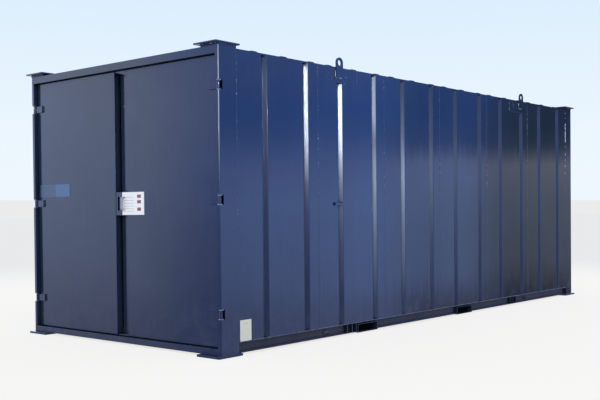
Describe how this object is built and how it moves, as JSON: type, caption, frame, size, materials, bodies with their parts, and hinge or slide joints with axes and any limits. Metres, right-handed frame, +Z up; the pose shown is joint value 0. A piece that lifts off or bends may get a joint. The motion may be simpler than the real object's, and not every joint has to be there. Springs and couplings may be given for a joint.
{
  "type": "portable site cabin",
  "caption": "Long steel site cabin for storage: grooved sides, double doors at one end, ribbed roof, corner stacking plates, lifting eyes and fork pockets.",
  "frame": {"origin": "middle of the footprint, on the ground under the corner plates", "axes": "+X across the width towards the right side as seen facing the doors, +Y along the length from the doors to the rear, +Z up"},
  "size_m": [2.784, 7.181, 2.728],
  "materials": {
    "blue_paint": "semi-gloss dark blue paint",
    "plywood": "bare plywood floor board",
    "galvanised": "dull galvanised",
    "bare_steel": "oiled steel",
    "white_plate": "satin white plate",
    "blue_plate": "satin blue plate",
    "cream_plate": "satin cream plate"
  },
  "bodies": {
    "cabin": {"post_front_right": "blue_paint", "post_front_left": "blue_paint", "post_rear_right": "blue_paint", "post_rear_left": "blue_paint", "base_plates": "blue_paint", "top_plates": "blue_paint", "front_header": "blue_paint", "front_sill": "blue_paint", "rear_top_rail": "blue_paint", "rear_bottom_rail": "blue_paint", "side_top_rail_right": "blue_paint", "side_top_rail_left": "blue_paint", "side_bottom_rail_right": "blue_paint", "side_bottom_rail_left": "blue_paint", "side_wall_right": "blue_paint", "side_wall_left": "blue_paint", "rear_wall": "blue_paint", "roof_sheet": "blue_paint", "floor_board": "plywood", "floor_bearers": "blue_paint", "fork_pocket_front": "blue_paint", "fork_pocket_rear": "blue_paint", "rail_gussets_right": "blue_paint", "rail_gussets_left": "blue_paint", "lifting_eye_front_right": "blue_paint", "lifting_eye_front_left": "blue_paint", "lifting_eye_rear_right": "blue_paint", "lifting_eye_rear_left": "blue_paint", "certificate_plate": "cream_plate", "vent_hood": "blue_paint", "hinge_pins_right": "bare_steel", "hinge_pins_left": "bare_steel"},
    "door_right": {"door_right_skin": "blue_paint", "door_right_frame": "blue_paint", "door_right_hinges": "blue_paint", "closing_lip": "blue_paint", "lock_box": "blue_paint", "pull_handle": "galvanised", "notice_plate": "white_plate"},
    "door_left": {"door_left_skin": "blue_paint", "door_left_frame": "blue_paint", "door_left_hinges": "blue_paint", "label_plate": "blue_plate"}
  },
  "joints": [
    {"name": "door_right_hinge", "type": "hinge", "parent": "cabin", "child": "door_right", "pos_m": [1.347, -3.5195, 1.335], "axis": [0, 0, 1], "range_deg": [0, 180]},
    {"name": "door_left_hinge", "type": "hinge", "parent": "cabin", "child": "door_left", "pos_m": [-1.347, -3.5195, 1.335], "axis": [0, 0, -1], "range_deg": [0, 180]}
  ]
}
